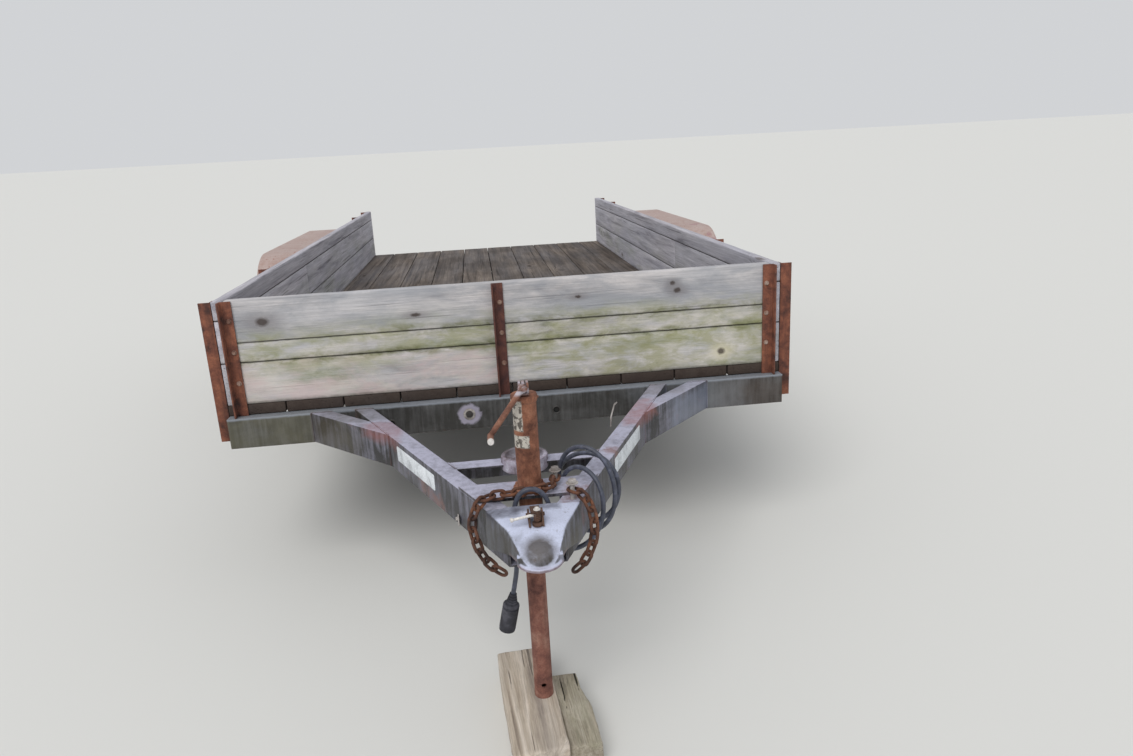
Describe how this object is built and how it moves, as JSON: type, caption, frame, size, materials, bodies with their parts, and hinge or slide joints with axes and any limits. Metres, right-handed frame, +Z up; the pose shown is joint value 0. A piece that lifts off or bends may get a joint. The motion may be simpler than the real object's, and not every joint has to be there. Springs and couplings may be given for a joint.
{
  "type": "utility trailer",
  "caption": "Tandem-axle open utility trailer with low plank walls, steel stakes, an A-shaped drawbar and a parked tongue jack.",
  "frame": {"origin": "on the floor under the middle of the trailer's bounding box, parked nose-up on its jack", "axes": "+Y from the coupler towards the open rear end, along the trailer; +X to the right as seen from the coupler looking back; +Z up"},
  "size_m": [2.43, 5.267, 1.007],
  "materials": {
    "frame_paint": "chalky faded dark paint with rust at the edges",
    "boss_steel": "worn grey steel with a bright rim",
    "reflector_white": "blank white strip",
    "coupler_paint": "faded grey-blue paint over rust",
    "latch_steel": "worn plated steel",
    "jack_rust": "orange-brown rust",
    "ram_rust": "maroon rust",
    "crank_steel": "dark worn steel",
    "block_timber": "cracked grey timber",
    "deck_timber": "dark damp boards",
    "wall_timber": "weathered grey planks with moss",
    "stake_rust": "red-brown rust",
    "fender_rust": "faded paint gone to pink rust",
    "axle_steel": "old black paint with rust",
    "spring_steel": "dark rusty steel",
    "lamp_red": "red lens in a black case",
    "chain_rust": "orange-brown rust",
    "lead_rubber": "slate blue-black jacket",
    "plug_plastic": "blue-black moulding",
    "tyre_rubber": "worn black road tyre",
    "rim_paint": "dull white paint with rust",
    "hub_steel": "dark greased steel"
  },
  "bodies": {
    "trailer": {"front_crossmember": "frame_paint", "rear_crossmember": "frame_paint", "side_rail_right": "frame_paint", "side_rail_left": "frame_paint", "joists": "frame_paint", "tongue_right": "frame_paint", "tongue_left": "frame_paint", "tongue_braces": "frame_paint", "crossbar": "frame_paint", "crossbar_boss": "boss_steel", "reflector_strips": "reflector_white", "coupler": "coupler_paint", "coupler_latch": "latch_steel", "jack_plate": "jack_rust", "jack_outer": "jack_rust", "jack_inner": "ram_rust", "jack_crank": "crank_steel", "jack_block": "block_timber", "jack_slab": "block_timber", "deck_boards": "deck_timber", "front_planks": "wall_timber", "right_planks": "wall_timber", "left_planks": "wall_timber", "front_stakes": "stake_rust", "right_stakes": "stake_rust", "left_stakes": "stake_rust", "fender_right": "fender_rust", "fender_left": "fender_rust", "axle_front": "axle_steel", "axle_rear": "axle_steel", "springs_right": "spring_steel", "springs_left": "spring_steel", "hangers_right": "spring_steel", "hangers_left": "spring_steel", "equaliser_right": "spring_steel", "equaliser_left": "spring_steel", "axle_clamps_right": "spring_steel", "axle_clamps_left": "spring_steel", "rear_lamp_right": "lamp_red", "rear_lamp_left": "lamp_red", "safety_chains": "chain_rust", "chain_anchors": "chain_rust", "cord": "lead_rubber", "cord_grommet": "lead_rubber", "cord_plug": "plug_plastic"},
    "wheel_front_left": {"tyre_front_left": "tyre_rubber", "rim_front_left": "rim_paint", "hub_front_left": "hub_steel"},
    "wheel_front_right": {"tyre_front_right": "tyre_rubber", "rim_front_right": "rim_paint", "hub_front_right": "hub_steel"},
    "wheel_rear_left": {"tyre_rear_left": "tyre_rubber", "rim_rear_left": "rim_paint", "hub_rear_left": "hub_steel"},
    "wheel_rear_right": {"tyre_rear_right": "tyre_rubber", "rim_rear_right": "rim_paint", "hub_rear_right": "hub_steel"}
  },
  "joints": [
    {"name": "wheel_front_left_spin", "type": "hinge", "parent": "trailer", "child": "wheel_front_left", "pos_m": [-1.08, 0.5618, 0.3665], "axis": [1, 0, 0], "continuous": true},
    {"name": "wheel_front_right_spin", "type": "hinge", "parent": "trailer", "child": "wheel_front_right", "pos_m": [1.08, 0.5618, 0.3665], "axis": [1, 0, 0], "continuous": true},
    {"name": "wheel_rear_left_spin", "type": "hinge", "parent": "trailer", "child": "wheel_rear_left", "pos_m": [-1.08, 1.42283, 0.3665], "axis": [1, 0, 0], "continuous": true},
    {"name": "wheel_rear_right_spin", "type": "hinge", "parent": "trailer", "child": "wheel_rear_right", "pos_m": [1.08, 1.42283, 0.3665], "axis": [1, 0, 0], "continuous": true}
  ]
}
